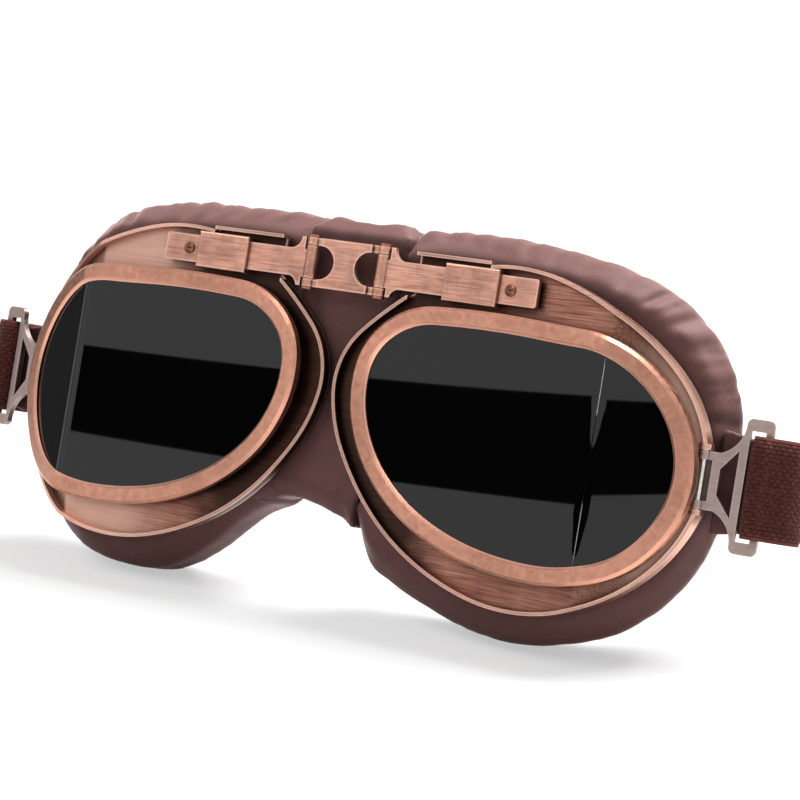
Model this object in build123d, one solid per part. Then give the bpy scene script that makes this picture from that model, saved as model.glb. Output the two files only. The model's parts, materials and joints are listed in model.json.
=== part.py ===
from build123d import *
import math
import os

# Aviator flying goggles, millimetres.
# The pieces are drawn upright, with x to the wearer's left, y to the back of the
# head, z up and zero height at the bridge strip's screws. The finished set is
# then leaned back until the two cushions and the head strap stand on the ground.

# Whole set
LEAN = 17.8
NOSE_HALF_GAP = 8.6
OVERRUN = 60.0
FIT = 0.03
SLIP = 0.15
HINGE_SLIP = 0.08
SEAT = 0.1
SOFT_GAP = 0.3

# Bezel of one eye
BEZEL_WIDTH = 92.4
BEZEL_HEIGHT = 64.2
BEZEL_DROP = 6.1
BEZEL_BAND = 4.6
BEZEL_DEPTH = 2.7
BEZEL_LIP = 1.0
BEZEL_BEVEL = 0.8
PANEL_BEND = 27.0
FOLD_DEPTH = 6.0
CREASE_SHARE = 0.752
FRONT_STAND = 3.3
BEZEL_SHARES = (
    (0.424, 1.000, -0.6), (0.686, 0.985, -2.5), (0.976, 0.688, -72.5), (0.920, 0.154, -120.6),
    (0.635, 0.000, -179.9), (0.270, 0.113, 145.0), (0.014, 0.519, 101.8), (0.060, 0.883, 55.7),
)

# Split lens and its seal
GROOVE_WALL = 3.2
GLASS = 1.4
GLASS_GAP = 0.2
SEAM = 0.2
SEAL = 0.6
SEAL_BAND = 1.6

# Vented shell with its tray and upturned lip
WALL_INSET = 1.6
WALL = 1.0
SHEET = 0.8
TRAY_DEPTH = 2.2
LIP_WALL = 0.9
LEDGE = 0.6
LEDGE_BAND = 2.4
TRAY_NASAL = 7.1
TRAY_SIDE = 2.2
TRAY_TOP = 12.6
TRAY_BOTTOM = 8.5
TRAY_SHARES = (
    (0.588, 0.981, -16.4), (0.912, 0.759, -54.2), (0.983, 0.343, -104.6), (0.846, 0.105, -136.7),
    (0.470, 0.019, 164.0), (0.138, 0.247, 127.4), (0.003, 0.543, 97.9), (0.217, 0.906, 38.0),
)
CORNER_START = 20.3
CORNER_END = 42.0
CORNER_TOP = 6.7
CORNER_BOTTOM = 7.0
VENTS = 18
VENT_LENGTH = 11.6
VENT_HEIGHT = 1.3
VENT_BRIDGE = 0.1

# Clamp ring and cushion behind the shell
RING_BAND = 4.4
RING_OUTSET = 1.4
RING_SHEET = 1.0
PAD_NASAL = 2.0
PAD_SPLIT = 14.0
PAD_SIDE = 5.0
PAD_WIDEST = 20.0
EYE_WIDEST = 14.5
PAD_TOP = 7.2
PAD_BOTTOM = 7.4
PAD_THICKNESS = 22.0
PAD_RIM = 4.0
PAD_FRONT_BEVEL = 6.0
PAD_BACK_BEVEL = 6.0
PAD_EYE_BEVEL = 4.0
PAD_BEND_RADIUS = 34.0
REST_CUT = 0.5
PAD_SHARES = (
    (0.276, 1.000, -0.1), (0.709, 0.943, -18.7), (0.998, 0.603, -84.1), (0.898, 0.190, -126.3),
    (0.497, 0.000, 179.9), (0.097, 0.162, 137.9), (0.000, 0.512, 90.4), (0.030, 0.916, 63.9),
)
NOSE_THICKNESS = 18.0
NOSE_ARCH = 10.0
NOSE_FOOT_SHARE = 0.150
NOSE_CHANNEL_RADIUS = 11.0
NOSE_BROW_WALL = 14.0
NOSE_TIP_WALL = 6.0
NOSE_BEVEL = 4.0

# Bridge: centre link, hinge pins, strip arms, sleeves and stop screws
LINK_HALF = 7.5
LINK_HEIGHT = 12.7
LINK_SHEET = 1.0
LINK_STAND = 1.1
LINK_NOTCH = 4.3
HINGE_REACH = 10.8
HINGE_DEPTH = 0.2
HINGE_RISE = 0.5
KNUCKLE_RADIUS = 1.7
KNUCKLE_GAP = 0.2
HINGE_PIN_RADIUS = 0.8
PIN_HEAD_RADIUS = 1.5
PIN_HEAD = 0.6
STRIP_HEIGHT = 7.2
STRIP_SHEET = 1.2
STRIP_STAND = 0.4
STRIP_TIP = 7.6
FLARE_START = 13.0
FLARE_FLAT = 1.2
FLARE_RUN = 3.2
SLEEVE_START = 30.0
SLEEVE_LENGTH = 15.5
SLEEVE_WALL = 1.0
SLEEVE_ROUND = 0.4
SCREW_GAP = 3.3
SCREW_HEAD_RADIUS = 1.45
SCREW_HEAD = 0.8
SCREW_SHANK_RADIUS = 0.8
SCREW_SLOT = 0.4

# Strap bracket on the side of the shell
BRACKET_DROP = 38.5
EAR_OUTSET = 0.6
EAR_RISE = 1.02
BRACKET_TURN = 12.0
BRACKET_SHEET = 1.6
BARREL_RADIUS = 1.6
BARREL_HEIGHT = 14.3
BRACKET_PIN_RADIUS = 0.8
PIN_WINDOW = 10.0
PIN_WINDOW_REACH = 2.3
BRACKET_NECK = 4.2
BRACKET_SHOULDER = 9.2
STRAP_BAR = 2.0
INNER_BAR = 2.1
SLOT_WIDTH = 3.7
SLOT_SLACK = 1.0
BRACKET_RAIL = 3.0
BRACKET_ROUND = 1.6
WINDOW_NEAR = 4.5
WINDOW_REACH = 4.0
WINDOW_NEAR_HALF = 3.2
WINDOW_FAR_HALF = 8.2
EAR_SHEET = 1.4
EAR_GAP = 0.2
NOTCH_MARGIN = 2.0
TAB_SHEET = 1.6
TAB_OFFSET = 4.7
TAB_START = 3.0
TAB_END = 20.0
TAB_ROOT_HALF = 13.0
TAB_TIP_HALF = 10.0

# Head strap and its adjuster
STRAP_WIDTH = 25.0
STRAP_SHEET = 1.5
STRAP_TURN_START = 17.5
STRAP_TURN_RADIUS = 6.2
STRAP_HEADING = 121.0
STRAP_SEWN = 10.0
STRAP_JOIN = 0.3
ADJUSTER_ANGLE = 40.0
ADJUSTER_LENGTH = 22.0
ADJUSTER_BAR = 3.0
ADJUSTER_SHEET = 1.4
ADJUSTER_RAIL = 3.0
ADJUSTER_PLAY = 0.2
TAIL_LENGTH = 28.0

# Worked out from the sizes above
BEZEL_TOP = -BEZEL_DROP
BEZEL_BOTTOM = BEZEL_TOP - BEZEL_HEIGHT
CREASE = NOSE_HALF_GAP + CREASE_SHARE * BEZEL_WIDTH
BEZEL_FRONT = -FRONT_STAND
BEZEL_BACK = BEZEL_FRONT + BEZEL_DEPTH
GLASS_FRONT = BEZEL_FRONT + BEZEL_LIP + SEAT
GLASS_BACK = GLASS_FRONT + GLASS
SEAL_BACK = GLASS_BACK + SEAL
LEDGE_BACK = SEAL_BACK + LEDGE
TRAY_BACK = TRAY_DEPTH + SHEET
RING_FRONT = TRAY_BACK + SEAT
RING_BACK = RING_FRONT + RING_SHEET
PAD_FRONT = RING_BACK + SEAT
PAD_BACK = PAD_FRONT + PAD_THICKNESS
STRIP_BACK = STRIP_SHEET - STRIP_STAND
HINGE_TOP = LINK_HEIGHT / 2
WINDOW_FAR = WINDOW_NEAR + WINDOW_REACH
SLOT_START = WINDOW_FAR + INNER_BAR
BAR_START = SLOT_START + SLOT_WIDTH
BRACKET_END = BAR_START + STRAP_BAR
SLOT_HALF = STRAP_WIDTH / 2 + SLOT_SLACK
RAIL_HALF = SLOT_HALF + BRACKET_RAIL
PAD_RIGHT = NOSE_HALF_GAP + BEZEL_WIDTH + TRAY_SIDE + PAD_SIDE
PAD_LOW = BEZEL_BOTTOM - TRAY_BOTTOM - PAD_BOTTOM
PAD_HIGH = BEZEL_TOP + TRAY_TOP + PAD_TOP
BENT = math.radians(PANEL_BEND)
BRACKET_REACH = NOSE_HALF_GAP + BEZEL_WIDTH + EAR_OUTSET
BRACKET_BACK = (BRACKET_REACH - CREASE) * math.tan(BENT) + EAR_RISE
NOTCH_EDGE = BRACKET_REACH - NOTCH_MARGIN
SCREW_REACH = SLEEVE_START + SLEEVE_LENGTH + SCREW_GAP
STRIP_END = SCREW_REACH + STRIP_TIP


def two_arcs(start, leaving, end, arriving):
    """Two tangent arcs between two points with a heading at each."""
    chord = end - start
    both = leaving + arriving
    spread = (1 - leaving.dot(arriving)) * 2
    pull = (math.sqrt(chord.dot(both) ** 2 + chord.dot(chord) * spread) - chord.dot(both)) / spread
    joint = (start + end + (leaving - arriving) * pull) / 2
    first = (joint - start).normalized()
    turned = first * leaving.dot(first) * 2 - leaving
    return [TangentArc(start, joint, tangent=leaving), TangentArc(joint, end, tangent=turned)]


def eye_outline(shares, left, right, bottom, top):
    """Closed clockwise outline of tangent arcs, seen from the front."""
    width = right - left
    height = top - bottom
    knots = []
    for u, v, turn in shares:
        way = Vector(math.cos(math.radians(turn)) * width, 0, math.sin(math.radians(turn)) * height)
        knots.append((Vector(left + u * width, 0, bottom + v * height), way.normalized()))
    edges = []
    for (start, leaving), (end, arriving) in zip(knots, knots[1:] + knots[:1]):
        edges += two_arcs(start, leaving, end, arriving)
    return edges


def bezel_outline():
    return eye_outline(BEZEL_SHARES, NOSE_HALF_GAP, NOSE_HALF_GAP + BEZEL_WIDTH, BEZEL_BOTTOM, BEZEL_TOP)


def tray_outline():
    left = NOSE_HALF_GAP - TRAY_NASAL
    right = NOSE_HALF_GAP + BEZEL_WIDTH + TRAY_SIDE
    return eye_outline(TRAY_SHARES, left, right, BEZEL_BOTTOM - TRAY_BOTTOM, BEZEL_TOP + TRAY_TOP)


def inset(outline, amount):
    """The same outline, moved inward by an amount."""
    def moved(edge, share):
        along = edge.tangent_at(share)
        return edge.position_at(share) + Vector(along.Z, 0, -along.X) * amount
    starts = [moved(edge, 0) for edge in outline]
    middles = [moved(edge, 1 / 2) for edge in outline]
    return [ThreePointArc(*points) for points in zip(starts, middles, starts[1:] + starts[:1])]


def prism(outline, hole=()):
    """A column along the line of sight with this outline."""
    face = make_face(outline)
    if hole:
        face = face - make_face(hole)
    return Pos(0, -OVERRUN, 0) * extrude(face, OVERRUN * 2, dir=(0, 1, 0))


def leaning_prism(shares, left, right, widest, bottom, top):
    """A column whose outer side leans in as the side panel does."""
    wires = []
    for depth in (-OVERRUN / 4, OVERRUN):
        reach = right - (depth - widest) * math.tan(BENT)
        wires.append(Pos(0, depth, 0) * Wire(eye_outline(shares, left, reach, bottom, top)))
    return Solid.make_loft(wires, ruled=True)


def band(outline, outer, inner):
    """A tubular column between two insets of one outline."""
    border = inset(outline, outer) if outer else outline
    return prism(border, inset(outline, inner))


def plan_edges(depth, bend_depth):
    """One bent line of the plan view, with its two ends."""
    centre = Vector(CREASE - bend_depth * math.tan(BENT / 2), bend_depth)
    radius = bend_depth - depth
    start = Vector(-OVERRUN, depth)
    bend_in = Vector(centre.X, depth)
    middle = centre + Vector(math.sin(BENT / 2), -math.cos(BENT / 2)) * radius
    bend_out = centre + Vector(math.sin(BENT), -math.cos(BENT)) * radius
    end = bend_out + Vector(math.cos(BENT), math.sin(BENT)) * OVERRUN
    edges = [Line(start, bend_in), ThreePointArc(bend_in, middle, bend_out), Line(bend_out, end)]
    return edges, start, end


def layer(front, back, bend_depth=FOLD_DEPTH):
    """All space between two depths, bent at the crease."""
    front_edges, front_start, front_end = plan_edges(front, bend_depth)
    back_edges, back_start, back_end = plan_edges(back, bend_depth)
    ends = [Line(front_start, back_start), Line(front_end, back_end)]
    slab = extrude(make_face(front_edges + back_edges + ends), OVERRUN * 4, dir=(0, 0, 1))
    return Pos(0, 0, -OVERRUN * 3) * slab


def box(x0, x1, y0, y1, z0, z1):
    """A block between opposite corners."""
    block = Box(abs(x1 - x0), abs(y1 - y0), abs(z1 - z0))
    return Pos((x0 + x1) / 2, (y0 + y1) / 2, (z0 + z1) / 2) * block


def upright_rod(x, y, z0, z1, radius):
    """A round bar along the height."""
    return Pos(x, y, (z0 + z1) / 2) * Cylinder(radius, abs(z1 - z0))


def level_rod(x, z, y0, y1, radius):
    """A round bar along the line of sight."""
    return Pos(x, (y0 + y1) / 2, z) * Rot(90, 0, 0) * Cylinder(radius, abs(y1 - y0))


def plate(points, y0, y1):
    """A flat sheet from its front view outline."""
    face = make_face(Polyline(*[(x, y0, z) for x, z in points], close=True))
    return extrude(face, y1 - y0, dir=(0, 1, 0))


def rim_edges(solid, toward_front):
    """Outer and inner border of the front or the back of a bent ring."""
    sign = -1 if toward_front else 1
    faces = [f for f in solid.faces() if f.normal_at(f.center()).Y * sign > math.sin(BENT)]
    edges = [e for f in faces for e in f.edges()]
    border = ShapeList()
    for edge in edges:
        twins = [e for e in edges if (e.center() - edge.center()).length < SEAT / 10]
        if len(twins) == 1:
            border.append(edge)
    return border


def make_bezel():
    outline = bezel_outline()
    ring = band(outline, 0, BEZEL_BAND) & layer(BEZEL_FRONT, BEZEL_BACK)
    ring = chamfer(rim_edges(ring, True), BEZEL_BEVEL)
    groove = prism(inset(outline, GROOVE_WALL)) & layer(BEZEL_FRONT + BEZEL_LIP, FOLD_DEPTH - SEAT)
    return ring - groove


def make_panes():
    """Front and side glass, cut along the fold."""
    blank = prism(inset(bezel_outline(), GROOVE_WALL + GLASS_GAP)) & layer(GLASS_FRONT, GLASS_BACK)
    fold = Pos(CREASE, 0, 0) * Rot(0, 0, PANEL_BEND / 2)
    front_half = fold * box(-OVERRUN * 2, -SEAM / 2, -OVERRUN, OVERRUN, -OVERRUN * 2, OVERRUN)
    side_half = fold * box(SEAM / 2, OVERRUN, -OVERRUN, OVERRUN, -OVERRUN * 2, OVERRUN)
    return blank & front_half, blank & side_half


def make_seal():
    start = GROOVE_WALL + GLASS_GAP
    return band(bezel_outline(), start, start + SEAL_BAND) & layer(GLASS_BACK, SEAL_BACK)


def make_vents():
    """Slots round the shell wall, none across the fold."""
    curve = Wire(inset(bezel_outline(), WALL_INSET + WALL / 2))
    level = LEDGE_BACK + VENT_BRIDGE + VENT_HEIGHT / 2
    slots = []
    for step in range(VENTS):
        along = (step + 0.5) / VENTS
        point = curve.position_at(along)
        tangent = curve.tangent_at(along)
        if abs(point.X - CREASE) < VENT_LENGTH * abs(tangent.X) / 2 + VENT_HEIGHT:
            continue
        slope = math.tan(BENT) if point.X > CREASE else 0
        depth = level if not slope else level / math.cos(BENT) + (point.X - CREASE) * slope
        run = Vector(tangent.X, tangent.X * slope, tangent.Z)
        across = Vector(-tangent.Z, 0, tangent.X)
        frame = Plane(origin=(point.X, depth, point.Z), x_dir=run, z_dir=across)
        slots.append(frame.location * Box(VENT_LENGTH, VENT_HEIGHT, WALL * 3))
    return slots


def make_tray():
    """Flange sheet with its upturned lip and squared inner corner."""
    outline = tray_outline()
    corner = box(CORNER_START, CORNER_END, -OVERRUN, OVERRUN, -CORNER_BOTTOM, CORNER_TOP)
    recess = box(CORNER_START - LIP_WALL, CORNER_END, -OVERRUN, OVERRUN, -CORNER_BOTTOM,
                 CORNER_TOP - LIP_WALL)
    whole = (prism(outline) + corner) & layer(0, TRAY_BACK)
    dish = (prism(inset(outline, LIP_WALL)) + recess) & layer(-OVERRUN / 4, TRAY_DEPTH)
    return whole - dish


def make_ears():
    """Hinge ears that carry the bracket pin."""
    ears = []
    for side in (-1, 1):
        near = -BRACKET_DROP + side * (BARREL_HEIGHT / 2 + EAR_GAP)
        far = near + side * EAR_SHEET
        tip = upright_rod(BRACKET_REACH, BRACKET_BACK, near, far, BARREL_RADIUS)
        foot = box(BRACKET_REACH - BARREL_RADIUS, BRACKET_REACH + BARREL_RADIUS,
                   BRACKET_BACK, BRACKET_BACK + BARREL_RADIUS, near, far)
        ears.append(tip + foot)
    return ears


def make_shell():
    outline = bezel_outline()
    wall = band(outline, WALL_INSET, WALL_INSET + WALL) & layer(BEZEL_BACK, TRAY_BACK)
    ledge = band(outline, WALL_INSET + WALL / 2, WALL_INSET + WALL + LEDGE_BAND)
    ledge = ledge & layer(SEAL_BACK, LEDGE_BACK)
    tray = make_tray() - prism(inset(outline, WALL_INSET + WALL / 2))
    half = BARREL_HEIGHT / 2 + EAR_GAP
    notch = box(NOTCH_EDGE, NOTCH_EDGE + OVERRUN, BRACKET_BACK - BARREL_RADIUS * 4,
                BRACKET_BACK + OVERRUN, -BRACKET_DROP - half, -BRACKET_DROP + half)
    reach = STRIP_HEIGHT / 2 + SLEEVE_WALL
    gate = box(CORNER_START - LIP_WALL * 4, CORNER_START + LIP_WALL * 4, -LIP_WALL, TRAY_DEPTH,
               -reach, reach)
    shell = (tray + wall + ledge) - (make_vents() + [notch, gate])
    shell = shell + make_ears()
    span = half + EAR_SHEET + EAR_GAP
    return shell - upright_rod(BRACKET_REACH, BRACKET_BACK, -BRACKET_DROP - span,
                               -BRACKET_DROP + span, BRACKET_PIN_RADIUS + FIT)


def make_clamp_ring():
    return band(bezel_outline(), -RING_OUTSET, RING_BAND - RING_OUTSET) & layer(RING_FRONT, RING_BACK)


def eye_opening():
    """Hollow that goes through the cushion to the lens."""
    right = NOSE_HALF_GAP + BEZEL_WIDTH - PAD_RIM
    return leaning_prism(BEZEL_SHARES, NOSE_HALF_GAP + PAD_RIM, right, EYE_WIDEST,
                         BEZEL_BOTTOM + PAD_RIM, BEZEL_TOP - PAD_RIM)


def border_bevel(pad, eye, toward_front, bevel_out, bevel_in):
    """Bevel the outer border, then the border of the eye opening."""
    edges = rim_edges(pad, toward_front)
    inner = ShapeList([e for e in edges if eye.distance_to(e.position_at(1 / 3)) < SEAT])
    outer = ShapeList([e for e in edges if e not in inner])
    pad = chamfer(outer, bevel_out)
    edges = rim_edges(pad, toward_front)
    inner = ShapeList([e for e in edges if eye.distance_to(e.position_at(1 / 3)) < SEAT])
    return chamfer(inner, bevel_in)


def make_pad():
    """Rolled cushion of one eye, open in the middle and toward the nose."""
    body = leaning_prism(PAD_SHARES, PAD_NASAL, PAD_RIGHT, PAD_WIDEST, PAD_LOW, PAD_HIGH)
    body = body & layer(PAD_FRONT, PAD_BACK, PAD_FRONT + PAD_BEND_RADIUS)
    eye = eye_opening()
    pad = body - eye
    pad = border_bevel(pad, eye, True, PAD_FRONT_BEVEL, PAD_EYE_BEVEL)
    pad = border_bevel(pad, eye, False, PAD_BACK_BEVEL, PAD_EYE_BEVEL)
    return pad - box(-OVERRUN, PAD_SPLIT, -OVERRUN, OVERRUN, -OVERRUN * 2, OVERRUN)


def make_nose_pad():
    """Leather saddle between the eyes, hollowed behind for the nose."""
    half = PAD_SPLIT - SOFT_GAP
    front = RING_BACK + SOFT_GAP
    foot = PAD_LOW + NOSE_FOOT_SHARE * (PAD_HIGH - PAD_LOW)
    sides = [Line((-half, front, foot), (-half, front, PAD_HIGH)),
             Line((-half, front, PAD_HIGH), (half, front, PAD_HIGH)),
             Line((half, front, PAD_HIGH), (half, front, foot)),
             ThreePointArc((half, front, foot), (0, front, foot + NOSE_ARCH), (-half, front, foot))]
    saddle = extrude(make_face(sides), NOSE_THICKNESS, dir=(0, 1, 0))
    ends = saddle.edges().filter_by(lambda e: e.bounding_box().size.Z < NOSE_ARCH + FIT)
    saddle = chamfer(ends.filter_by(lambda e: e.length > half), NOSE_BEVEL)
    run = BEZEL_HEIGHT
    lean = math.degrees(math.atan2(NOSE_BROW_WALL - NOSE_TIP_WALL, run))
    centre = front + (NOSE_BROW_WALL + NOSE_TIP_WALL) / 2 + NOSE_CHANNEL_RADIUS
    channel = Pos(0, centre, foot + run / 2) * Rot(lean, 0, 0)
    channel = channel * Cylinder(NOSE_CHANNEL_RADIUS, OVERRUN * 3)
    eye = eye_opening()
    saddle = saddle - eye - mirror(eye, Plane.YZ) - channel
    return saddle


def make_link():
    """Middle plate of the bridge, with a knuckle at each corner."""
    low = HINGE_RISE - HINGE_TOP
    high = HINGE_RISE + HINGE_TOP
    link = box(-LINK_HALF, LINK_HALF, -LINK_STAND, LINK_SHEET - LINK_STAND, low, high)
    knuckle = LINK_NOTCH + KNUCKLE_GAP / 2
    for side in (-1, 1):
        link = link - level_rod(side * LINK_HALF, HINGE_RISE, -OVERRUN, OVERRUN, LINK_NOTCH)
        for z0, z1 in ((HINGE_RISE + knuckle, high), (low, HINGE_RISE - knuckle)):
            reach = side * HINGE_REACH
            link = link + upright_rod(reach, HINGE_DEPTH, z0, z1, KNUCKLE_RADIUS)
            link = link + box(side * (LINK_HALF - LINK_SHEET), reach, HINGE_DEPTH - LINK_SHEET / 2,
                              HINGE_DEPTH + LINK_SHEET / 2, z0, z1)
        link = link - upright_rod(side * HINGE_REACH, HINGE_DEPTH, low - SEAT, high + SEAT,
                                  HINGE_PIN_RADIUS + FIT)
    return link


def make_arm():
    """Strip that slides in the sleeve, flared to its hinge barrel."""
    barrel_half = LINK_NOTCH - KNUCKLE_GAP / 2
    arm = box(HINGE_REACH, STRIP_END, -STRIP_STAND, STRIP_BACK, -STRIP_HEIGHT / 2, STRIP_HEIGHT / 2)
    arm = arm + upright_rod(HINGE_REACH, HINGE_DEPTH, HINGE_RISE - barrel_half,
                            HINGE_RISE + barrel_half, KNUCKLE_RADIUS)
    flat = FLARE_START + FLARE_FLAT
    for side in (-1, 1):
        tip = HINGE_RISE + side * HINGE_TOP
        root = side * STRIP_HEIGHT / 2
        sweep = Vector(FLARE_RUN, 0, tip - root) * (1 - math.sqrt(0.5))
        curve = ThreePointArc((flat, 0, tip), (flat + sweep.X, 0, root + sweep.Z),
                              (flat + FLARE_RUN, 0, root))
        flare = make_face([Line((FLARE_START, 0, 0), (FLARE_START, 0, tip)),
                           Line((FLARE_START, 0, tip), (flat, 0, tip)), curve,
                           Line((flat + FLARE_RUN, 0, root), (flat + FLARE_RUN, 0, 0)),
                           Line((flat + FLARE_RUN, 0, 0), (FLARE_START, 0, 0))])
        arm = arm + Pos(0, -STRIP_STAND, 0) * extrude(flare, STRIP_SHEET, dir=(0, 1, 0))
    arm = arm - upright_rod(HINGE_REACH, HINGE_DEPTH, -HINGE_TOP * 2, HINGE_TOP * 2,
                            HINGE_PIN_RADIUS + HINGE_SLIP)
    corners = arm.edges().filter_by(Axis.Y).filter_by(lambda e: e.center().X > STRIP_END - FIT)
    arm = fillet(corners, STRIP_SHEET / 2)
    return arm - level_rod(SCREW_REACH, 0, -OVERRUN, OVERRUN, SCREW_SHANK_RADIUS + FIT)


def make_stop_screw():
    """Slotted screw that keeps the strip in its sleeve."""
    head = level_rod(SCREW_REACH, 0, -STRIP_STAND - SCREW_HEAD, -STRIP_STAND, SCREW_HEAD_RADIUS)
    top = head.edges().filter_by(GeomType.CIRCLE).sort_by(Axis.Y)[0]
    head = chamfer(top, SCREW_HEAD / 2)
    shank = level_rod(SCREW_REACH, 0, -STRIP_STAND, STRIP_BACK, SCREW_SHANK_RADIUS)
    slot = box(SCREW_REACH - SCREW_HEAD_RADIUS, SCREW_REACH + SCREW_HEAD_RADIUS,
               -STRIP_STAND - SCREW_HEAD * 2, -STRIP_STAND - SCREW_HEAD / 2, -SCREW_SLOT / 2, SCREW_SLOT / 2)
    return head + shank - slot


def make_sleeve():
    """Box loop on the tray that guides the strip."""
    end = SLEEVE_START + SLEEVE_LENGTH
    half = STRIP_HEIGHT / 2 + SLIP
    front = -STRIP_STAND - SLIP
    outer = box(SLEEVE_START, end, front - SLEEVE_WALL, TRAY_DEPTH, -half - SLEEVE_WALL, half + SLEEVE_WALL)
    outer = fillet(outer.faces().sort_by(Axis.Y)[0].edges(), SLEEVE_ROUND)
    return outer - box(SLEEVE_START - SEAT, end + SEAT, front, STRIP_BACK + SLIP, -half, half)


def make_bridge_pin():
    high = HINGE_TOP + SEAT
    pin = upright_rod(HINGE_REACH, HINGE_DEPTH, HINGE_RISE - high, HINGE_RISE + high, HINGE_PIN_RADIUS)
    for side in (-1, 1):
        pin = pin + upright_rod(HINGE_REACH, HINGE_DEPTH, HINGE_RISE + side * high,
                                HINGE_RISE + side * (high + PIN_HEAD), PIN_HEAD_RADIUS)
    return pin


def at_bracket(shape):
    """Place a piece drawn along the bracket at the bracket's pin."""
    return Pos(BRACKET_REACH, BRACKET_BACK, -BRACKET_DROP) * Rot(0, 0, BRACKET_TURN) * shape


def bracket_half(side):
    """Front view of the upper or the lower half of the bracket plate."""
    neck = side * BARREL_HEIGHT / 2
    rail = side * RAIL_HALF
    sweep = math.sqrt(0.5)
    run = BRACKET_SHOULDER - BRACKET_NECK
    bend = (BRACKET_NECK + run * sweep, 0, neck + (rail - neck) * (1 - sweep))
    return make_face([Line((0, 0, 0), (0, 0, neck)), Line((0, 0, neck), (BRACKET_NECK, 0, neck)),
                      ThreePointArc((BRACKET_NECK, 0, neck), bend, (BRACKET_SHOULDER, 0, rail)),
                      Line((BRACKET_SHOULDER, 0, rail), (BRACKET_END, 0, rail)),
                      Line((BRACKET_END, 0, rail), (BRACKET_END, 0, 0)),
                      Line((BRACKET_END, 0, 0), (0, 0, 0))])


def make_bracket():
    """Flat strap bracket with its barrel, window and webbing slot."""
    half = BRACKET_SHEET / 2
    body = extrude(bracket_half(1), BRACKET_SHEET, dir=(0, 1, 0))
    body = Pos(0, -half, 0) * (body + extrude(bracket_half(-1), BRACKET_SHEET, dir=(0, 1, 0)))
    corners = body.edges().filter_by(Axis.Y)
    corners = corners.filter_by(lambda e: abs(e.center().Z) > RAIL_HALF - FIT)
    body = fillet(corners, BRACKET_ROUND)
    body = body + upright_rod(0, 0, -BARREL_HEIGHT / 2, BARREL_HEIGHT / 2, BARREL_RADIUS)
    window = [(WINDOW_NEAR, -WINDOW_NEAR_HALF), (WINDOW_FAR, -WINDOW_FAR_HALF),
              (WINDOW_FAR, WINDOW_FAR_HALF), (WINDOW_NEAR, WINDOW_NEAR_HALF)]
    body = body - plate(window, -half - SEAT, half + SEAT)
    body = body - box(SLOT_START, BAR_START, -OVERRUN, OVERRUN, -SLOT_HALF, SLOT_HALF)
    body = body - box(-BARREL_RADIUS - SEAT, PIN_WINDOW_REACH, -OVERRUN, OVERRUN,
                      -PIN_WINDOW / 2, PIN_WINDOW / 2)
    body = body - upright_rod(0, 0, -BARREL_HEIGHT, BARREL_HEIGHT, BRACKET_PIN_RADIUS + HINGE_SLIP)
    return at_bracket(body)


def make_bracket_pin():
    half = BARREL_HEIGHT / 2 + EAR_GAP + EAR_SHEET
    return at_bracket(upright_rod(0, 0, -half, half, BRACKET_PIN_RADIUS))


def make_tab(pad):
    """Leather tab that keeps the bracket off the temple."""
    tab = plate([(TAB_START, -TAB_ROOT_HALF), (TAB_END, -TAB_TIP_HALF), (TAB_END, TAB_TIP_HALF),
                 (TAB_START, TAB_ROOT_HALF)], TAB_OFFSET - TAB_SHEET / 2, TAB_OFFSET + TAB_SHEET / 2)
    tab = at_bracket(tab) - pad
    return tab.solids().sort_by(SortBy.VOLUME)[-1]


def heading(angle):
    return Vector(math.cos(math.radians(angle)), math.sin(math.radians(angle)))


def turn_end():
    """Where the strap has turned round to the back, and the centre of that turn."""
    start = Vector(BRACKET_REACH, BRACKET_BACK) + heading(BRACKET_TURN) * STRAP_TURN_START
    centre = start + heading(BRACKET_TURN + 90) * STRAP_TURN_RADIUS
    return centre + heading(STRAP_HEADING - 90) * STRAP_TURN_RADIUS, centre


def rear_arc(rear):
    """Straight length and radius of the strap that ends square across the back."""
    start, centre = turn_end()
    chord = math.tan(math.radians((180 - STRAP_HEADING) / 2))
    away = heading(STRAP_HEADING)
    length = (rear - start.Y - chord * start.X) / (away.Y + chord * away.X)
    span = start.X + away.X * length
    radius = span / math.sin(math.radians(180 - STRAP_HEADING))
    return length, radius


def upright_sheet(edges):
    """Webbing of strap width from its plan view."""
    sheet = extrude(make_face(edges), STRAP_WIDTH, dir=(0, 0, 1))
    return Pos(0, 0, -BRACKET_DROP - STRAP_WIDTH / 2) * sheet


def strip_between(start, end, half):
    """Straight webbing between two plan points."""
    side = (end - start).normalized().rotate(Axis.Z, 90) * half
    return upright_sheet([Line(start + side, end + side), Line(end + side, end - side),
                          Line(end - side, start - side), Line(start - side, start + side)])


def arc_sheet(centre, radius, first, last, half):
    """Curved webbing about a centre in the plan view."""
    corners = [[centre + heading(a) * (radius + h) for a in (first, (first + last) / 2, last)]
               for h in (half, -half)]
    outer, inner = corners
    return upright_sheet([ThreePointArc(*outer), Line(outer[2], inner[2]),
                          ThreePointArc(*inner), Line(inner[0], outer[0])])


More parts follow.
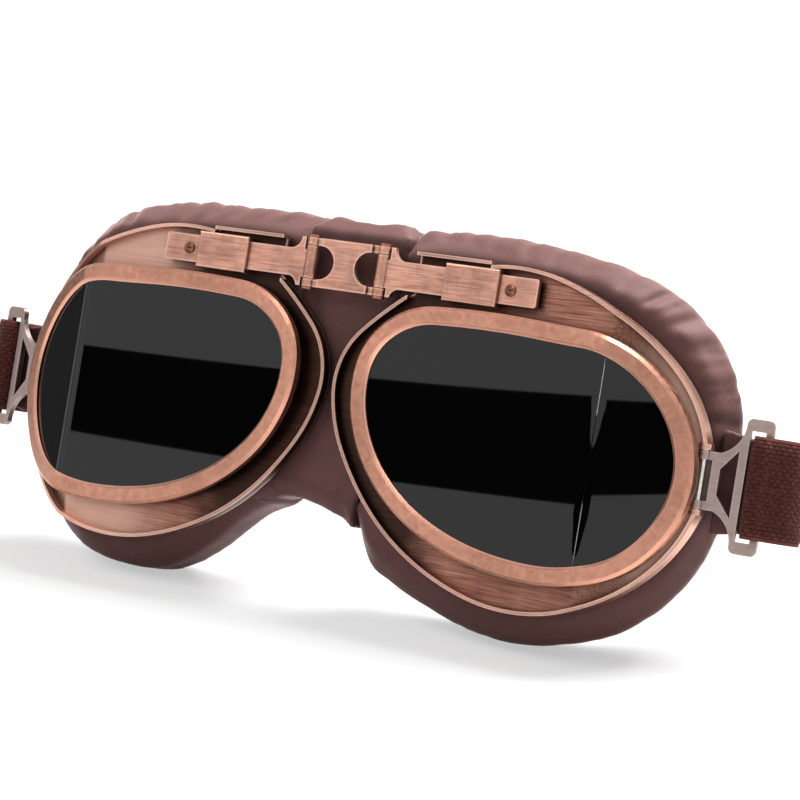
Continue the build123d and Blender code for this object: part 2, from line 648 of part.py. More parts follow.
def make_strap_loop():
    """Doubled webbing round the bracket's outer bar, sewn behind the turn."""
    middle = (BAR_START + BRACKET_END) / 2
    half_bar = STRAP_BAR / 2 + SOFT_GAP
    half_sheet = BRACKET_SHEET / 2 + SOFT_GAP
    wrap = box(middle - half_bar - STRAP_SHEET, middle + half_bar + STRAP_SHEET,
               -half_sheet - STRAP_SHEET, half_sheet + STRAP_SHEET, -STRAP_WIDTH / 2, STRAP_WIDTH / 2)
    wrap = fillet(wrap.edges().filter_by(Axis.Z), STRAP_SHEET)
    wrap = wrap - box(middle - half_bar, middle + half_bar, -half_sheet, half_sheet,
                      -STRAP_WIDTH, STRAP_WIDTH)
    end, centre = turn_end()
    start = centre - heading(BRACKET_TURN + 90) * STRAP_TURN_RADIUS
    back = start - heading(BRACKET_TURN) * STRAP_SHEET / 2
    loop = at_bracket(wrap) + strip_between(back, start, STRAP_SHEET)
    loop = loop + arc_sheet(centre, STRAP_TURN_RADIUS, BRACKET_TURN - 90, STRAP_HEADING - 90, STRAP_SHEET)
    return loop + strip_between(end, end + heading(STRAP_HEADING) * STRAP_SEWN, STRAP_SHEET)


def make_strap_side(rear):
    end, centre = turn_end()
    length, radius = rear_arc(rear)
    first = end + heading(STRAP_HEADING) * (STRAP_SEWN + STRAP_JOIN)
    return strip_between(first, end + heading(STRAP_HEADING) * length, STRAP_SHEET / 2)


def make_strap_rear(rear):
    length, radius = rear_arc(rear)
    start = STRAP_HEADING - 90 + math.degrees(STRAP_JOIN / radius)
    return arc_sheet(Vector(0, rear - radius), radius, start, 180 - start, STRAP_SHEET / 2)


def at_adjuster(rear, shape):
    """Place a piece drawn across the strap at the adjuster, x outward."""
    length, radius = rear_arc(rear)
    place = Vector(0, rear - radius) + heading(90 + ADJUSTER_ANGLE) * radius
    return Pos(place.X, place.Y, -BRACKET_DROP) * Rot(0, 0, 90 + ADJUSTER_ANGLE) * shape


def make_adjuster(rear):
    """Ladder slide: end bars inside the strap, middle bar outside it."""
    length, radius = rear_arc(rear)
    reach = ADJUSTER_LENGTH / 2
    sag = radius - math.sqrt(radius ** 2 - reach ** 2)
    inside = -sag - STRAP_SHEET / 2 - ADJUSTER_PLAY
    outside = STRAP_SHEET / 2 + ADJUSTER_PLAY
    edge = STRAP_WIDTH / 2 + ADJUSTER_PLAY
    frame = box(outside, outside + ADJUSTER_SHEET, -ADJUSTER_BAR / 2, ADJUSTER_BAR / 2, -edge - SEAT, edge + SEAT)
    for side in (-1, 1):
        frame = frame + box(inside - ADJUSTER_SHEET, inside, side * reach, side * (reach - ADJUSTER_BAR),
                            -edge - SEAT, edge + SEAT)
        frame = frame + box(inside - ADJUSTER_SHEET, outside + ADJUSTER_SHEET, -reach, reach,
                            side * edge, side * (edge + ADJUSTER_RAIL))
    corners = frame.edges().filter_by(Axis.X)
    corners = corners.filter_by(lambda e: abs(e.center().Y) > reach - FIT and abs(e.center().Z) > edge + SEAT * 2)
    return at_adjuster(rear, fillet(corners, ADJUSTER_BAR / 2))


def make_tail(rear):
    """Free end of the strap, lying outside it past the adjuster's middle bar."""
    length, radius = rear_arc(rear)
    lift = radius + STRAP_SHEET + SOFT_GAP
    first = 90 + ADJUSTER_ANGLE + math.degrees((ADJUSTER_BAR / 2 + SOFT_GAP) / radius)
    last = first + math.degrees(TAIL_LENGTH / radius)
    return arc_sheet(Vector(0, rear - radius), lift, first, last, STRAP_SHEET / 2)


def leaned(shape):
    return Rot(-LEAN, 0, 0) * shape


def strap_rear_depth(ground):
    """How far back the strap's lower edge comes down to the ground."""
    lean = math.radians(LEAN)
    edge = -BRACKET_DROP - STRAP_WIDTH / 2
    drop = edge * math.cos(lean) - ground + REST_CUT
    return drop / math.sin(lean) - STRAP_SHEET / 2


def build_pieces():
    """Every piece of the goggles in the upright frame, and the height of the ground."""
    pad = make_pad()
    ground = leaned(pad).bounding_box().min.Z + REST_CUT
    rear = strap_rear_depth(ground)
    front_pane, side_pane = make_panes()
    sided = {
        "bezel": make_bezel(), "front_pane": front_pane, "side_pane": side_pane,
        "lens_seal": make_seal(), "shell": make_shell(), "clamp_ring": make_clamp_ring(),
        "pad": pad, "temple_tab": make_tab(pad), "strip_arm": make_arm(),
        "stop_screw": make_stop_screw(), "sleeve": make_sleeve(), "bridge_pin": make_bridge_pin(),
        "strap_bracket": make_bracket(), "bracket_pin": make_bracket_pin(),
        "strap_loop": make_strap_loop(), "strap_side": make_strap_side(rear),
    }
    pieces = {}
    for name, shape in sided.items():
        pieces["left_" + name] = shape
        pieces["right_" + name] = mirror(shape, Plane.YZ)
    pieces["bridge_link"] = make_link()
    pieces["nose_pad"] = make_nose_pad()
    pieces["strap_rear"] = make_strap_rear(rear)
    pieces["strap_adjuster"] = make_adjuster(rear)
    pieces["strap_tail"] = make_tail(rear)
    return pieces, ground


def stand_up(pieces, ground):
    """Lean every piece back, cut the resting forms flat and centre the set."""
    below = Pos(0, 0, ground - OVERRUN * 2) * Box(OVERRUN * 8, OVERRUN * 8, OVERRUN * 4)
    placed = {}
    for name, shape in pieces.items():
        shape = leaned(shape)
        if name.endswith("_pad") or name == "strap_rear":
            shape = shape - below
        placed[name] = shape
    boxes = [shape.bounding_box() for shape in placed.values()]
    front = min(b.min.Y for b in boxes)
    back = max(b.max.Y for b in boxes)
    home = Pos(0, -(front + back) / 2, -ground)
    return {name: home * shape for name, shape in placed.items()}, home


def main():
    os.makedirs("parts", exist_ok=True)
    pieces, ground = build_pieces()
    placed, home = stand_up(pieces, ground)
    for name, shape in placed.items():
        solids = shape.solids()
        export_step(solids[0] if len(solids) == 1 else Compound(children=list(solids)),
                    os.path.join("parts", name + ".step"))
    print("shift to the centre", round(home.position.Y, 4), round(home.position.Z, 4))


if __name__ == "__main__":
    main()
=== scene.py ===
import bmesh
import bpy
import json
import math
from bpy.props import FloatProperty, FloatVectorProperty, PointerProperty
from mathutils import Matrix, Vector, noise


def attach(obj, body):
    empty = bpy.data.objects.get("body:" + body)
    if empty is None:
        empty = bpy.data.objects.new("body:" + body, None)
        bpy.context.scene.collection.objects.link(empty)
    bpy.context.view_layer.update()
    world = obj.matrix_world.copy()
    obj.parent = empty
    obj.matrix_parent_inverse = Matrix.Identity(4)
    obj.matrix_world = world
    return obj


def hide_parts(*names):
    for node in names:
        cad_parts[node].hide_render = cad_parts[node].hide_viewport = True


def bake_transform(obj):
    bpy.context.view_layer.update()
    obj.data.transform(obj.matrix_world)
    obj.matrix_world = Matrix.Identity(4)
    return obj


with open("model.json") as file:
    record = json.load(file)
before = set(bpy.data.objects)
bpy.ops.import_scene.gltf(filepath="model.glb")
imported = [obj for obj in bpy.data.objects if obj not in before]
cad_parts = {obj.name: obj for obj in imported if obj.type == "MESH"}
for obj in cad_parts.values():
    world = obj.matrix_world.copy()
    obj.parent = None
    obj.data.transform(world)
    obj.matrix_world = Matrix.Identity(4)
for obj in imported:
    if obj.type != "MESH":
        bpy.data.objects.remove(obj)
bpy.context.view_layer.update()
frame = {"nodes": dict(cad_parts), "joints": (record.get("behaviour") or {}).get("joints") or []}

bl_info = {
    "name": "Aviator flying goggles",
    "version": (1, 0, 0),
    "blender": (4, 5, 0),
    "location": "View3D > Sidebar > Goggles",
    "description": "Copper flying goggles with leather cushions and an elastic head strap",
    "category": "Object",
}

SIDES = (("left", 1), ("right", -1))
MM = 0.001

# Places on the upright goggles, in millimetres and degrees, as the solids have them
BRIDGE_AXIS = Vector((10.8, 0.2, 0.5))
EYE_ACROSS = 57.0
EYE_UP = -38.0
CREASE = 78.08
SIDE_BEND = math.radians(27.0)
BRACKET_PIN = Vector((101.6, 13.0, -38.5))
BRACKET_TURN = 12.0

# Head strap, in millimetres and degrees
STRAP_WIDTH = 25.0
PLY = 1.5
PLY_EDGE_SHARE = 0.45
BAR_MIDDLE = 14.6
BAR_WRAP = 2.7
TURN_START = 17.5
TURN_RADII = {"left": 6.2, "right": 3.1}
STRAP_HEADING = 121.0
SEWN = 10.0
SEWN_OFFSET = PLY * 0.52
OUTER_PLY_BACK = PLY * 0.4
OUTER_PLY_OFFSET = PLY * 0.6
EASE_LENGTH = 6.0
STRAP_JOIN = 0.3
LAP = 1.5
LAP_NARROWER = 0.3
LAP_THINNER = 0.15
TAIL_MARGIN = 0.1
BAR_STEP = 0.6
BAR_END_STEP = 0.8
EASE_STEP = 1.5

# Thread of the strap, in millimetres
STITCH_ROWS = (2.0, 8.0)
STITCH_MARGIN = 2.0
STITCH_PITCH_SHARE = 1.25
STITCH_LIFT = PLY * 1.02
THREAD_RADIUS = 0.28

# Gathers of the cushions, in millimetres round the rim, across it and from front to back
DIRECTIONS = 180
RIM_START = 6.5
RIM_FULL = 3.5
GATHER_PITCH = 9.5
SMALL_PITCH = 5.3
SMALL_SHIFT = 3.0
GATHER_DRIFT = 5.0
GATHER_MIDDLE = 12.0
GATHER_LEVELS = (-60.0, -8.0)
GATHER_DEPTHS = (8.0, 24.0)
GATHER_SHARE = 0.75
SMALL_SHARE = 0.35
DRIFT_SCALE = 0.045
LEAN_SCALE = 0.08
SIZE_SCALE = 0.06
BROAD_HEIGHT = 0.45
BROAD_SCALES = (0.05, 0.07, 0.05)
FINE_HEIGHT = 0.10
FINE_SCALES = (0.35, 0.18, 0.35)
CUSHION_SOFTENING = 14

# Draw of a cushion's low corner at the nose: side, draw, then where it starts and is full
CORNER_LEVELS = (-50.0, -80.0)
CORNER_DRAWS = (
    (-1, Vector((-2.0, 0.0, 0.0)), 36.0, 17.0),
    (-1, Vector((0.0, 0.0, 11.0)), 54.0, 18.0),
    (1, Vector((-10.0, 0.0, 3.0)), 38.0, 18.0),
    (1, Vector((2.0, 2.5, 6.0)), 25.0, 14.0),
)

# Nose saddle: its arch is higher and moved to the right eye, its legs are drawn wider.
# Each rise has a height, then where across the saddle it starts and is full.
SADDLE_LEVELS = (-46.0, -66.0)
SADDLE_SHIFT = 5.0
SADDLE_WIDEN_SHARE = 0.11
SADDLE_RISES = ((4.0, 4.0, -13.0), (2.0, 4.0, 13.0))
SADDLE_PUCKER = 0.4
SADDLE_PUCKER_SCALES = (0.22, 0.1, 0.08)
SADDLE_GRID_SHARE = 0.8
SADDLE_SOFTENING = 8

# Temple tabs: mesh size in metres, and how often it is softened
TAB_GRID = 0.0005
TAB_SOFTENING = 3

# Wear and grime of the plating, with painted shade at the nose and in the recesses and painted light at the
# temples, in shares, and where it lies across the goggles, in metres
RUBBED_SHARE = 0.8
GRIME_AND_SHADE_SHARE = 0.92
TEMPLE_LIGHT_SHARE = 0.6
TEMPLE_SHADE_EASE_SHARE = 0.5
NOSE_REACH = (0.052, 0.032)
RIGHT_TEMPLE = (-0.036, -0.056)
LEFT_TEMPLE = (0.086, 0.1)
MASK_WANDER = 0.012

# Scale of the metal's marks along each axis: a low one draws them out that way
FLANGE_BRUSHING = (70.0, 3600.0, 3600.0)
BRIDGE_BRUSHING = (110.0, 3600.0, 3600.0)
BRACKET_BRUSHING = (500.0, 500.0, 1900.0)
BEZEL_GRAIN = (700.0, 700.0, 700.0)
SMALL_GRAIN = (900.0, 900.0, 900.0)
STEEL_BRUSHING = (1800.0, 1800.0, 90.0)

# Painted light on the leather that faces up: a lighter, greyer tone
TOP_LIGHT_SHARE = 0.64
TOP_LIGHT_GAIN = 2.2
TOP_LIGHT_LIFT = 0.035

# Stage, in metres
FLOOR_REACH = 6.0
FLOOR_DROP = 0.0002
GLOW_NEAR = 0.18
GLOW_FAR = 0.6
GLOW_LEAST = 0.5
LAMP_SIZE = 0.9
LAMP_AIM = Vector((0.0, -0.03, 0.05))
LAMPS = (("Key", Vector((-0.7, -0.9, 1.3))), ("Top", Vector((0.45, 0.6, 1.2))))
SENSOR_MM = 36.0

# Cards on the stage: name, grey, distance, then bearing in degrees with lower and upper edge
CARD_STEPS = 11
CARDS = (
    ("Front card", 0.0, 1.2, (
        (-40.0, 0.285, 0.343),
        (-22.0, 0.353, 0.431),
        (24.0, 0.334, 0.406),
        (33.2, 0.338, 0.396))),
    ("Side card", 0.12, 0.6, (
        (-112.0, 0.0, 0.3),
        (-76.0, 0.0, 0.3))),
)


def hinge(name):
    return next(j for j in frame["joints"] if j["name"] == name)


def standing():
    """Matrix from upright millimetres to the leaned, standing goggles."""
    joint = hinge("left_nose_fold")
    axis = Vector(joint["axis"])
    turn = Matrix.Rotation(-math.atan2(axis.y, axis.z), 4, "X")
    home = Vector(joint["pos_m"]) - turn @ (BRIDGE_AXIS * MM)
    return Matrix.Translation(home) @ turn @ Matrix.Scale(MM, 4)


STAND = standing()
UPRIGHT = STAND.inverted()


def smoothstep(low, high, value):
    """Eased share, 0 at low and 1 at high, which may be given in either order."""
    t = min(max((value - low) / (high - low), 0.0), 1.0)
    return t * t * (3 - 2 * t)


# Settings

class GogglesStage(bpy.types.PropertyGroup):
    """View and light of the studio."""
    azimuth: FloatProperty(
        name="Azimuth", description="Camera's turn to the wearer's left",
        default=math.radians(32.06), subtype="ANGLE")
    elevation: FloatProperty(
        name="Elevation", description="Camera's height angle",
        default=math.radians(15.0), subtype="ANGLE")
    roll: FloatProperty(
        name="Roll", description="Camera's tilt about its own axis",
        default=math.radians(-0.17), subtype="ANGLE")
    eye: FloatVectorProperty(
        name="Camera place", description="Camera from the bridge's middle",
        default=(0.4093, -0.6276, 0.1659), subtype="TRANSLATION", unit="LENGTH")
    lens: FloatProperty(
        name="Lens", description="Focal length in millimetres", default=135.0)
    floor: FloatVectorProperty(
        name="Floor", description="Colour of the floor",
        default=(0.9, 0.9, 0.9), subtype="COLOR")
    key: FloatProperty(
        name="Key light", description="Power of the lamp in front",
        default=12.0, unit="POWER")
    top: FloatProperty(
        name="Top light", description="Power of the lamp above",
        default=52.0, unit="POWER")
    ambient: FloatProperty(
        name="Ambient", description="Strength of the light from all round", default=0.30)


class GogglesMetal(bpy.types.PropertyGroup):
    """Plating of the frames and the bridge."""
    light: FloatVectorProperty(
        name="Rubbed copper", description="Where the plating is polished",
        default=(0.74, 0.39, 0.27), subtype="COLOR")
    # Also the painted light on the flange at the temples.
    pale: FloatVectorProperty(
        name="Pale copper", description="Streaks of the brushed bridge and flange",
        default=(0.72, 0.44, 0.35), subtype="COLOR")
    middle: FloatVectorProperty(
        name="Copper", description="Main tone of the plating",
        default=(0.43, 0.18, 0.118), subtype="COLOR")
    # Dark plating tone, also the painted shade in the recesses and at the nose.
    dark: FloatVectorProperty(
        name="Patina and shade", description="Dark plating, and painted shade in the recesses and at the nose",
        default=(0.020, 0.011, 0.009), subtype="COLOR")
    satin: FloatVectorProperty(
        name="Satin", description="Greyish copper of the strap brackets",
        default=(0.45, 0.345, 0.315), subtype="COLOR")
    bright: FloatVectorProperty(
        name="Pins", description="Bright steel of the pins",
        default=(0.82, 0.80, 0.76), subtype="COLOR")
    ring: FloatVectorProperty(
        name="Clamp rings", description="Dull steel behind the leather's edge",
        default=(0.16, 0.12, 0.10), subtype="COLOR")


class GogglesSoft(bpy.types.PropertyGroup):
    """Leather and webbing."""
    leather: FloatVectorProperty(
        name="Leather", description="Main tone of the cushions",
        default=(0.070, 0.029, 0.026), subtype="COLOR")
    # Dark tone for the painted shade in the folds and hollows.
    crease: FloatVectorProperty(
        name="Leather creases", description="Tone in the folds",
        default=(0.022, 0.010, 0.009), subtype="COLOR")
    webbing: FloatVectorProperty(
        name="Webbing", description="Main tone of the strap",
        default=(0.060, 0.015, 0.011), subtype="COLOR")
    # Also the lighter border, partly a painted highlight.
    thread: FloatVectorProperty(
        name="Raised yarn", description="Tone of the strap's raised yarns",
        default=(0.115, 0.034, 0.025), subtype="COLOR")
    slide: FloatVectorProperty(
        name="Adjuster", description="Tone of the moulded adjuster",
        default=(0.02, 0.018, 0.017), subtype="COLOR")
    gather: FloatProperty(
        name="Gathers", description="Height of the leather's gathers",
        default=0.0009, unit="LENGTH")
    voxel: FloatProperty(
        name="Leather grid", description="Mesh size of the cushions",
        default=0.0011, unit="LENGTH")
    stitch: FloatProperty(
        name="Stitch length", description="Length of one stitch",
        default=0.0026, unit="LENGTH")


class GogglesLens(bpy.types.PropertyGroup):
    """Smoked glass and its seal."""
    smoke: FloatVectorProperty(
        name="Smoke", description="Tone of the glass",
        default=(0.0012, 0.0012, 0.0014), subtype="COLOR")
    polish: FloatProperty(
        name="Polish", description="Roughness of the glass", default=0.008)
    seal: FloatVectorProperty(
        name="Seal", description="Tone of the rubber round the glass",
        default=(0.012, 0.012, 0.012), subtype="COLOR")


# Shader helpers

def group(name, inputs, outputs):
    """New shader group with its named sockets, and its input and output nodes."""
    tree = bpy.data.node_groups.new(name, "ShaderNodeTree")
    for label, kind, value in inputs:
        socket = tree.interface.new_socket(label, in_out="INPUT", socket_type=kind)
        socket.default_value = value
    for label in outputs:
        tree.interface.new_socket(label, in_out="OUTPUT", socket_type="NodeSocketFloat")
    return tree, tree.nodes.new("NodeGroupInput"), tree.nodes.new("NodeGroupOutput")


def put(tree, kind, values=None, links=None, **settings):
    """Add a node, set its sockets and settings, and link what feeds it."""
    node = tree.nodes.new(kind)
    for key, value in settings.items():
        setattr(node, key, value)
    for key, value in (values or {}).items():
        node.inputs[key].default_value = value
    for key, source in (links or {}).items():
        tree.links.new(source, node.inputs[key])
    return node


def maths(tree, kind, first, second=None, clamp=False):
    """Math node; what it works on may be values or sockets."""
    node = put(tree, "ShaderNodeMath", operation=kind, use_clamp=clamp)
    for slot, value in enumerate((first, second)):
        if isinstance(value, bpy.types.NodeSocket):
            tree.links.new(value, node.inputs[slot])
        elif value is not None:
            node.inputs[slot].default_value = value
    return node.outputs[0]


def times(tree, first, second):
    return maths(tree, "MULTIPLY", first, second)


def plus(tree, first, second):
    return maths(tree, "ADD", first, second)


def mix(tree, share, first, second):
    """Colour mix; share and both colours may be values or sockets."""
    node = put(tree, "ShaderNodeMix", data_type="RGBA")
    for slot, value in ((0, share), (6, first), (7, second)):
        if isinstance(value, bpy.types.NodeSocket):
            tree.links.new(value, node.inputs[slot])
        elif slot:
            node.inputs[slot].default_value = (*value[:3], 1)
        else:
            node.inputs[slot].default_value = value
    return node.outputs[2]


def ramp(tree, source, low, high, bottom=0.0, top=1.0):
    """Eased value from bottom at low to top at high."""
    node = put(tree, "ShaderNodeMapRange", {1: low, 2: high, 3: bottom, 4: top}, {0: source},
               interpolation_type="SMOOTHSTEP")
    return node.outputs[0]


def noise_at(tree, vector, scale, detail=3.0, rough=0.55):
    node = put(tree, "ShaderNodeTexNoise", {"Scale": scale, "Detail": detail, "Roughness": rough},
               {"Vector": vector})
    return node.outputs["Fac"]


def object_place(tree):
    return put(tree, "ShaderNodeTexCoord").outputs["Object"]


def toned(colour, share):
    """Colour scaled by one share, or by a share for each channel."""
    shares = share if isinstance(share, tuple) else (share,) * 3
    return [c * k for c, k in zip(colour, shares)]


# Effects that several finishes share

def brushed_group():
    """Brushing lines and uneven plating over the metal."""
    tree, start, end = group(
        "Brushed plating",
        [("Stretch", "NodeSocketVector", (60.0, 2600.0, 2600.0)),
         ("Patch Scale", "NodeSocketFloat", 90.0)],
        ["Lines", "Patches"])
    place = object_place(tree)
    drawn_out = put(tree, "ShaderNodeVectorMath", links={0: place, 1: start.outputs["Stretch"]},
                    operation="MULTIPLY")
    lines = noise_at(tree, drawn_out.outputs[0], 1.0, 3.0, 0.6)
    patch = put(tree, "ShaderNodeTexNoise", {"Detail": 4.0, "Roughness": 0.62},
                {"Vector": place, "Scale": start.outputs["Patch Scale"]})
    tree.links.new(lines, end.inputs["Lines"])
    tree.links.new(patch.outputs["Fac"], end.inputs["Patches"])


def rub_group():
    """Rubbed edges, a recess mask for grime and painted shade, and how near a place is to nose or temple,
    where shade and light are painted.
    """
    tree, start, end = group(
        "Rub and grime",
        [("Edge Width", "NodeSocketFloat", 0.0007), ("Recess Width", "NodeSocketFloat", 0.006)],
        ["Edge", "Recess", "Nose Side", "Temple"])
    inner = put(tree, "ShaderNodeAmbientOcclusion", links={"Distance": start.outputs["Edge Width"]},
                inside=True, samples=6, only_local=True)
    # Occlusion outside marks the recesses, for grime and painted shade.
    outer = put(tree, "ShaderNodeAmbientOcclusion", links={"Distance": start.outputs["Recess Width"]},
                samples=6)
    tree.links.new(ramp(tree, inner.outputs["AO"], 0.95, 0.6), end.inputs["Edge"])
    tree.links.new(ramp(tree, outer.outputs["AO"], 0.78, 0.3), end.inputs["Recess"])
    # Masks by the nose and the temples, for painted shade and painted light.
    place = object_place(tree)
    across = put(tree, "ShaderNodeSeparateXYZ", links={0: place}).outputs[0]
    wander = times(tree, noise_at(tree, place, 140.0), MASK_WANDER)
    out = plus(tree, maths(tree, "ABSOLUTE", across), wander)
    tree.links.new(ramp(tree, out, *NOSE_REACH), end.inputs["Nose Side"])
    moved = plus(tree, across, wander)
    right_temple = ramp(tree, moved, *RIGHT_TEMPLE)
    left_temple = ramp(tree, moved, *LEFT_TEMPLE)
    tree.links.new(maths(tree, "MAXIMUM", right_temple, left_temple), end.inputs["Temple"])


def leather_group():
    """Pebbled grain with fine wrinkles, and a mask of what faces up, for painted light."""
    tree, start, end = group(
        "Leather grain",
        [("Grain Scale", "NodeSocketFloat", 1500.0), ("Wrinkle Scale", "NodeSocketFloat", 260.0)],
        ["Height", "Wrinkle", "Tone", "Upper"])
    coordinates = put(tree, "ShaderNodeTexCoord").outputs
    place = coordinates["Object"]
    bent = put(tree, "ShaderNodeTexNoise", {"Scale": 120.0, "Detail": 2.0}, {"Vector": place})
    shifted = put(tree, "ShaderNodeVectorMath", {1: (0.006, 0.006, 0.006)},
                  {0: bent.outputs["Color"]}, operation="MULTIPLY")
    warped = put(tree, "ShaderNodeVectorMath", links={0: place, 1: shifted.outputs[0]}, operation="ADD")
    pebble = put(tree, "ShaderNodeTexVoronoi",
                 links={"Vector": place, "Scale": start.outputs["Grain Scale"]}, feature="F1")
    folds = put(tree, "ShaderNodeTexVoronoi",
                links={"Vector": warped.outputs[0], "Scale": start.outputs["Wrinkle Scale"]},
                feature="DISTANCE_TO_EDGE")
    fold = ramp(tree, folds.outputs["Distance"], 0.0, 0.16)
    dome = ramp(tree, pebble.outputs["Distance"], 0.75, 0.05)
    tree.links.new(plus(tree, times(tree, dome, 0.5), times(tree, fold, 0.12)), end.inputs["Height"])
    tree.links.new(fold, end.inputs["Wrinkle"])
    tree.links.new(noise_at(tree, place, 55.0, 4.0, 0.6), end.inputs["Tone"])
    # What faces up, for painted light.
    facing = put(tree, "ShaderNodeSeparateXYZ", links={0: coordinates["Normal"]}).outputs[2]
    tree.links.new(ramp(tree, facing, 0.1, 0.95), end.inputs["Upper"])


def weave_group():
    """Elastic webbing from its length and width coordinates."""
    tree, start, end = group(
        "Elastic weave",
        [("Rows", "NodeSocketFloat", 26.0), ("Picks", "NodeSocketFloat", 620.0)],
        ["Height", "Yarn", "Border"])
    cut = put(tree, "ShaderNodeSeparateXYZ", links={0: put(tree, "ShaderNodeTexCoord").outputs["UV"]})
    along, across = cut.outputs[0], cut.outputs[1]
    rows = times(tree, across, start.outputs["Rows"])
    odd = times(tree, maths(tree, "FLOORED_MODULO", maths(tree, "FLOOR", rows), 2.0), 0.5)
    cord = maths(tree, "ABSOLUTE", maths(tree, "SINE", times(tree, rows, math.pi)))
    step = plus(tree, times(tree, along, start.outputs["Picks"]), odd)
    pick = maths(tree, "ABSOLUTE", maths(tree, "SINE", times(tree, step, math.pi)))
    yarn = times(tree, maths(tree, "POWER", cord, 0.6), maths(tree, "POWER", pick, 0.5))
    off_middle = maths(tree, "ABSOLUTE", maths(tree, "SUBTRACT", across, 0.5))
    border = ramp(tree, off_middle, 0.455, 0.475)
    tree.links.new(maths(tree, "MAXIMUM", yarn, border), end.inputs["Height"])
    tree.links.new(yarn, end.inputs["Yarn"])
    tree.links.new(border, end.inputs["Border"])


def effect(tree, name, **values):
    """Place a shared effect in a material with its own values."""
    node = put(tree, "ShaderNodeGroup", node_tree=bpy.data.node_groups[name])
    for key, value in values.items():
        node.inputs[key.replace("_", " ")].default_value = value
    return node.outputs


# Finishes

def material(name):
    """New material with its node tree and its Principled shader."""
    made = bpy.data.materials.new(name)
    made.use_nodes = True
    return made, made.node_tree, made.node_tree.nodes["Principled BSDF"]


def feed(tree, shader, **sources):
    """Set or link the shader's sockets, named with underscores for spaces."""
    for key, source in sources.items():
        socket = shader.inputs[key.replace("_", " ")]
        if isinstance(source, bpy.types.NodeSocket):
            tree.links.new(source, socket)
        elif isinstance(source, tuple):
            socket.default_value = (*source, 1) if len(source) == 3 else source
        else:
            socket.default_value = source


def bump(tree, height, depth, strength=1.0):
    node = put(tree, "ShaderNodeBump", {"Strength": strength, "Distance": depth}, {"Height": height})
    return node.outputs["Normal"]


def copper(name, light, middle, dark, stretch, grime, low=0.3, high=0.46, patches=90.0,
           streak=0.5, nose_shade=0.0):
    """Brushed plating, rubbed at its edges, with grime and painted shade in its recesses.

    Grime is the share of dark patches, low and high bound the roughness, streak is the
    strength of the brushing, and the last share sets the painted shade on the side at the
    nose and the painted light on the flange at the temples.
    """
    made, tree, shader = material(name)
    brush = effect(tree, "Brushed plating", Stretch=stretch, Patch_Scale=patches)
    rub = effect(tree, "Rub and grime")
    lines = ramp(tree, brush["Lines"], 0.28, 0.74)
    cloud = ramp(tree, brush["Patches"], 0.38, 0.66)
    # The nose share also lowers the base tone: painted shade.
    least = 0.4 - streak / 2 - 0.2 * nose_shade
    tone = mix(tree, plus(tree, times(tree, lines, streak), least), middle, light)
    tone = mix(tree, times(tree, cloud, grime), tone, dark)
    # Painted light on the flange at the temples, and less painted shade in the recesses there.
    temple_light = times(tree, rub["Temple"], nose_shade)
    tone = mix(tree, times(tree, temple_light, TEMPLE_LIGHT_SHARE), tone, light)
    recess_darkening = maths(tree, "SUBTRACT", GRIME_AND_SHADE_SHARE, times(tree, temple_light, TEMPLE_SHADE_EASE_SHARE))
    # Grime and painted shade in the recesses.
    tone = mix(tree, times(tree, rub["Recess"], recess_darkening), tone, dark)
    # Painted shade on the side at the nose.
    tone = mix(tree, times(tree, rub["Nose Side"], nose_shade), tone, dark)
    tone = mix(tree, times(tree, rub["Edge"], RUBBED_SHARE), tone, light)
    feed(tree, shader, Base_Color=tone, Metallic=1.0,
         Roughness=plus(tree, times(tree, lines, high - low), low),
         Normal=bump(tree, brush["Lines"], 0.00002, 0.6))
    return made


def steel(name, tone, rough):
    """Turned steel with a little unevenness."""
    made, tree, shader = material(name)
    brush = effect(tree, "Brushed plating", Stretch=STEEL_BRUSHING, Patch_Scale=200.0)
    shade = mix(tree, ramp(tree, brush["Patches"], 0.35, 0.7), tone, toned(tone, 0.6))
    feed(tree, shader, Base_Color=shade, Metallic=1.0,
         Roughness=plus(tree, times(tree, brush["Lines"], 0.2), rough),
         Normal=bump(tree, brush["Lines"], 0.00003, 0.5))
    return made


def leather(name, tone, crease):
    """Soft leather, with painted light where it faces up and painted shade in its creases and hollows."""
    made, tree, shader = material(name)
    skin = effect(tree, "Leather grain", Grain_Scale=1700.0, Wrinkle_Scale=420.0)
    rub = effect(tree, "Rub and grime", Edge_Width=0.002, Recess_Width=0.006)
    lit_top_tone = [c * TOP_LIGHT_GAIN + TOP_LIGHT_LIFT for c in tone]
    shade = mix(tree, times(tree, skin["Tone"], 0.5), tone, toned(tone, 1.35))
    # Painted shade along the fine wrinkles.
    shade = mix(tree, maths(tree, "SUBTRACT", 0.10, times(tree, skin["Wrinkle"], 0.10)), shade, crease)
    # Painted light on what faces up.
    shade = mix(tree, times(tree, skin["Upper"], TOP_LIGHT_SHARE), shade, lit_top_tone)
    # Painted shade in the hollows, from occlusion.
    shade = mix(tree, times(tree, rub["Recess"], 0.7), shade, crease)
    feed(tree, shader, Base_Color=shade, Specular_IOR_Level=0.14,
         Roughness=plus(tree, times(tree, skin["Tone"], 0.18), 0.5),
         Sheen_Weight=0.5, Sheen_Roughness=0.3, Sheen_Tint=(0.95, 0.70, 0.70),
         Normal=bump(tree, skin["Height"], 0.00007, 0.75))
    return made


